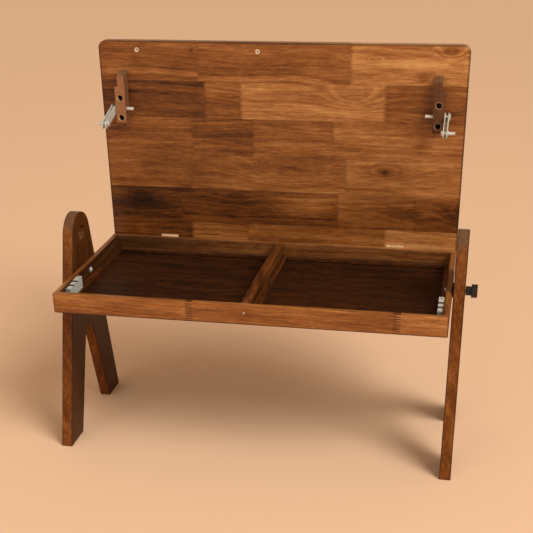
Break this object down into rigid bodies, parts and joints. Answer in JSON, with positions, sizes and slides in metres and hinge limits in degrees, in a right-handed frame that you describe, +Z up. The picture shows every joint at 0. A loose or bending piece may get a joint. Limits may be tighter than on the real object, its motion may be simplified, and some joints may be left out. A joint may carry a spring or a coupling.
{
  "type": "tabletop_drafting_table",
  "caption": "Walnut-coloured tabletop drafting table: a hinged drawing board over a divided tray on A-shaped legs.",
  "frame": {"origin": "middle of the bounding box's base, on the floor under the feet", "axes": "+X to the right along the board and the hinge, +Y to the back where the open board stands, +Z up"},
  "size_m": [0.6729, 0.3106, 0.6035],
  "materials": {
    "board_wood": "satin",
    "rail_wood": "satin",
    "leg_wood": "satin",
    "panel_wood": "matte",
    "block_wood": "matte",
    "zinc": "satin",
    "brass": "satin",
    "black_plastic": "satin"
  },
  "bodies": {
    "tray": {"front_rail": "rail_wood", "rear_rail": "rail_wood", "left_rail": "rail_wood", "right_rail": "rail_wood", "bottom_panel": "panel_wood", "divider": "rail_wood", "front_brad": "zinc", "rear_brad": "zinc", "left_cleat_outer": "rail_wood", "left_cleat_divider": "rail_wood", "left_cleat_rear": "rail_wood", "left_rack": "zinc", "left_rack_screw_1": "zinc", "left_rack_screw_2": "zinc", "left_hinge_rail_leaf": "brass", "left_hinge_pin": "brass", "left_insert": "zinc", "left_spacer": "black_plastic", "right_cleat_outer": "rail_wood", "right_cleat_divider": "rail_wood", "right_cleat_rear": "rail_wood", "right_rack": "zinc", "right_rack_screw_1": "zinc", "right_rack_screw_2": "zinc", "right_hinge_rail_leaf": "brass", "right_hinge_pin": "brass", "right_insert": "zinc", "right_spacer": "black_plastic", "hinge_rail_screw_1": "brass", "hinge_rail_screw_2": "brass", "hinge_rail_screw_3": "brass", "hinge_rail_screw_4": "brass"},
    "lid": {"lid_board": "board_wood", "left_strut_block": "block_wood", "left_block_screw_1": "zinc", "left_block_screw_2": "zinc", "left_link_bolt": "zinc", "left_link_washer": "zinc", "left_hinge_lid_leaf": "brass", "right_strut_block": "block_wood", "right_block_screw_1": "zinc", "right_block_screw_2": "zinc", "right_link_bolt": "zinc", "right_link_washer": "zinc", "right_hinge_lid_leaf": "brass", "hinge_lid_screw_1": "brass", "hinge_lid_screw_2": "brass", "hinge_lid_screw_3": "brass", "hinge_lid_screw_4": "brass"},
    "left_link": {"left_link": "zinc", "left_peg": "zinc"},
    "left_leg": {"left_leg": "leg_wood"},
    "left_knob": {"left_knob": "black_plastic", "left_stud": "zinc"},
    "right_link": {"right_link": "zinc", "right_peg": "zinc"},
    "right_leg": {"right_leg": "leg_wood"},
    "right_knob": {"right_knob": "black_plastic", "right_stud": "zinc"}
  },
  "joints": [
    {"name": "lid_hinge", "type": "hinge", "parent": "tray", "child": "lid", "pos_m": [0, 0.13995, 0.277], "axis": [1, 0, 0], "range_deg": [0, 90]},
    {"name": "left_link_pivot", "type": "hinge", "parent": "lid", "child": "left_link", "pos_m": [-0.2762, 0.12635, 0.498], "axis": [1, 0, 0], "range_deg": [0, 73]},
    {"name": "right_link_pivot", "type": "hinge", "parent": "lid", "child": "right_link", "pos_m": [0.2705, 0.12635, 0.498], "axis": [1, 0, 0], "range_deg": [0, 73]},
    {"name": "left_leg_pivot", "type": "hinge", "parent": "tray", "child": "left_leg", "pos_m": [-0.302, -0.01375, 0.265], "axis": [1, 0, 0], "continuous": true},
    {"name": "right_leg_pivot", "type": "hinge", "parent": "tray", "child": "right_leg", "pos_m": [0.302, -0.01375, 0.265], "axis": [1, 0, 0], "continuous": true},
    {"name": "left_knob_turn", "type": "hinge", "parent": "tray", "child": "left_knob", "pos_m": [-0.32, -0.01375, 0.265], "axis": [1, 0, 0], "continuous": true},
    {"name": "right_knob_turn", "type": "hinge", "parent": "tray", "child": "right_knob", "pos_m": [0.32, -0.01375, 0.265], "axis": [1, 0, 0], "continuous": true}
  ],
  "couplings": [
    {"joint": "left_link_pivot", "follows": "lid_hinge", "ratio": 0.81111},
    {"joint": "right_link_pivot", "follows": "lid_hinge", "ratio": 0.81111}
  ]
}
